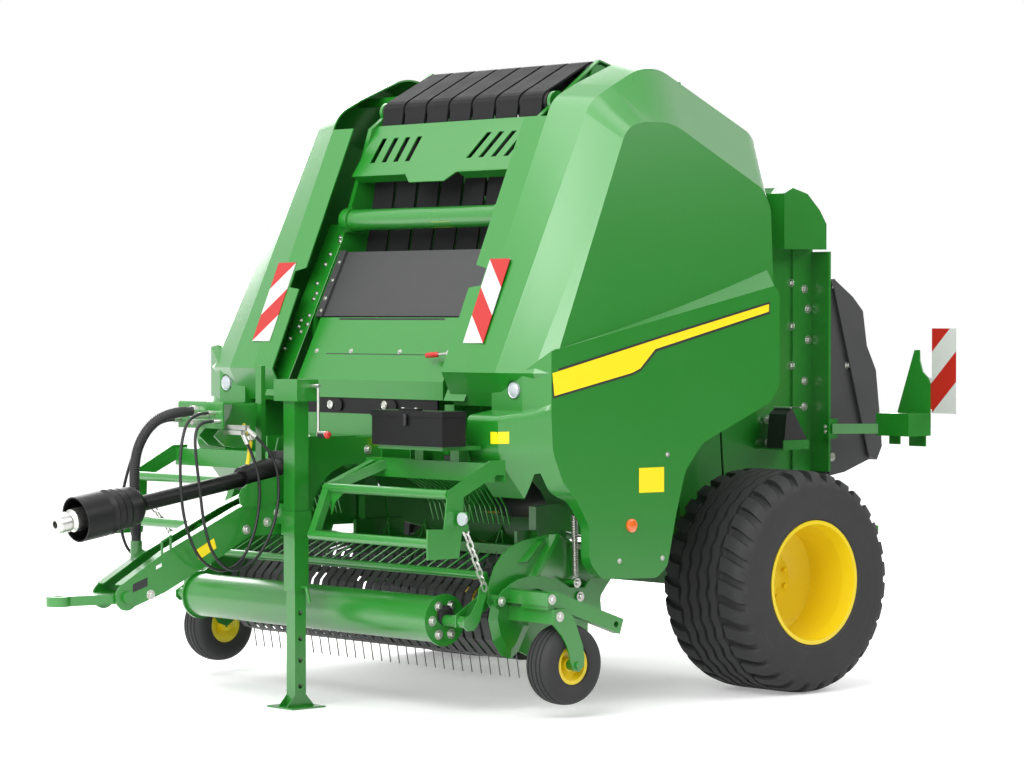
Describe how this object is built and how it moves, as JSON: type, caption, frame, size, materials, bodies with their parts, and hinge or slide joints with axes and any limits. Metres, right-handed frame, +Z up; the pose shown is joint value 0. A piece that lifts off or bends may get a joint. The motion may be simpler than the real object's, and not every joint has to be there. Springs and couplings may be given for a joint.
{
  "type": "round baler",
  "caption": "Towed round baler with roller and tine pickup, belt chamber, lift-up side doors, hinged tailgate, net box and parking jack.",
  "frame": {"origin": "on the ground under the middle of the machine's length and width", "axes": "+Z up, -Y towards the drawbar (forward), +X the machine's left"},
  "size_m": [2.83, 4.726, 3.0502],
  "materials": {
    "green_paint": "gloss green paint",
    "green_panel": "gloss green moulded panel",
    "yellow_paint": "gloss yellow paint",
    "black_plastic": "fine grained black plastic",
    "black_paint": "satin black paint",
    "tyre_rubber": "matte tyre rubber",
    "belt_rubber": "matte woven-faced rubber",
    "hose_rubber": "smooth black rubber",
    "steel": "bright zinc steel",
    "spring_steel": "dark spring steel",
    "board": "reflective red and white",
    "reflector": "clear reflector"
  },
  "bodies": {
    "frame": {"main_frame": "green_paint", "axle_beam": "green_paint", "chamber_wall_left": "green_paint", "chamber_wall_right": "green_paint", "chamber_rollers": "black_paint", "front_belts": "belt_rubber", "slotted_beam": "green_paint", "cross_tube": "green_paint", "window_board": "black_plastic", "front_hood": "green_paint", "sensor_strip": "black_plastic", "drawbar": "green_paint", "hitch_eye": "green_paint", "gearbox": "black_paint", "pto_guard": "black_plastic", "front_frame": "green_paint", "jack_tube": "green_paint", "jack_crank": "steel", "hose_post": "green_paint", "hose_couplers": "steel", "toolbox": "black_plastic", "front_guard_left": "green_paint", "front_guard_right": "green_paint", "front_reflectors": "reflector", "lift_chains": "steel", "hose_near_upper": "hose_rubber", "hose_near_lower": "hose_rubber", "hose_far_upper": "hose_rubber", "hose_far_lower": "hose_rubber", "conduit": "hose_rubber"},
    "wheel_left": {"tyre_left": "tyre_rubber", "rim_left": "yellow_paint"},
    "wheel_right": {"tyre_right": "tyre_rubber", "rim_right": "yellow_paint"},
    "side_door_left": {"side_door_left": "green_panel", "door_board_left": "board"},
    "side_door_right": {"side_door_right": "green_panel", "door_board_right": "board"},
    "tailgate": {"tailgate_frame": "green_paint", "tailgate_rollers": "black_paint", "tailgate_belts": "belt_rubber", "net_box": "black_paint", "light_brackets": "green_paint", "rear_boards": "board", "wheel_chock": "yellow_paint"},
    "net_cover": {"net_cover": "black_plastic"},
    "feed_rotor": {"feed_rotor": "green_paint"},
    "pickup": {"pickup_frame": "green_paint", "pickup_bands": "black_paint", "relief_springs": "steel"},
    "pickup_reel": {"pickup_reel": "spring_steel"},
    "windguard": {"windguard_frame": "green_paint"},
    "windguard_roller": {"windguard_roller": "green_paint"},
    "gauge_wheel_left": {"gauge_tyre_left": "tyre_rubber", "gauge_rim_left": "yellow_paint"},
    "gauge_wheel_right": {"gauge_tyre_right": "tyre_rubber", "gauge_rim_right": "yellow_paint"},
    "pto_shaft": {"pto_shaft": "steel"},
    "jack_leg": {"jack_leg": "green_paint"},
    "toolbox_lid": {"toolbox_lid": "black_plastic"}
  },
  "joints": [
    {"name": "wheel_spin_left", "type": "hinge", "parent": "frame", "child": "wheel_left", "pos_m": [1.14, 1.083, 0.535], "axis": [1, 0, 0], "continuous": true},
    {"name": "wheel_spin_right", "type": "hinge", "parent": "frame", "child": "wheel_right", "pos_m": [-1.14, 1.083, 0.535], "axis": [1, 0, 0], "continuous": true},
    {"name": "side_door_open_left", "type": "hinge", "parent": "frame", "child": "side_door_left", "pos_m": [0.655, 0.383, 2.905], "axis": [0, -1, 0], "range_deg": [0, 60]},
    {"name": "side_door_open_right", "type": "hinge", "parent": "frame", "child": "side_door_right", "pos_m": [-0.655, 0.383, 2.905], "axis": [0, 1, 0], "range_deg": [0, 60]},
    {"name": "tailgate_open", "type": "hinge", "parent": "frame", "child": "tailgate", "pos_m": [0, 1.103, 2.52], "axis": [1, 0, 0], "range_deg": [0, 60]},
    {"name": "net_cover_open", "type": "hinge", "parent": "tailgate", "child": "net_cover", "pos_m": [0, 1.913, 1.985], "axis": [1, 0, 0], "range_deg": [0, 70]},
    {"name": "feed_rotor_spin", "type": "hinge", "parent": "frame", "child": "feed_rotor", "pos_m": [0, 0.023, 0.64], "axis": [1, 0, 0], "continuous": true},
    {"name": "pickup_lift", "type": "hinge", "parent": "frame", "child": "pickup", "pos_m": [0, 0.023, 0.64], "axis": [1, 0, 0], "range_deg": [0, 6.5]},
    {"name": "reel_spin", "type": "hinge", "parent": "pickup", "child": "pickup_reel", "pos_m": [0, -0.437, 0.44], "axis": [1, 0, 0], "continuous": true},
    {"name": "windguard_lift", "type": "hinge", "parent": "pickup", "child": "windguard", "pos_m": [0, -0.417, 0.7], "axis": [-1, 0, 0], "range_deg": [0, 25]},
    {"name": "windguard_roller_spin", "type": "hinge", "parent": "windguard", "child": "windguard_roller", "pos_m": [0, -0.847, 0.44], "axis": [1, 0, 0], "continuous": true},
    {"name": "gauge_wheel_spin_left", "type": "hinge", "parent": "pickup", "child": "gauge_wheel_left", "pos_m": [1.3, -0.462, 0.244], "axis": [1, 0, 0], "continuous": true},
    {"name": "gauge_wheel_spin_right", "type": "hinge", "parent": "pickup", "child": "gauge_wheel_right", "pos_m": [-1.3, -0.462, 0.244], "axis": [1, 0, 0], "continuous": true},
    {"name": "pto_spin", "type": "hinge", "parent": "frame", "child": "pto_shaft", "pos_m": [0, -2.325, 0.889], "axis": [0, 0.9869, 0.1616], "continuous": true},
    {"name": "jack_retract", "type": "slide", "parent": "frame", "child": "jack_leg", "axis": [0, 0, 1], "range_m": [0, 0.3]},
    {"name": "toolbox_lid_open", "type": "hinge", "parent": "frame", "child": "toolbox_lid", "pos_m": [0.813, -0.825, 1.373], "axis": [-1, 0, 0], "range_deg": [0, 95]}
  ]
}
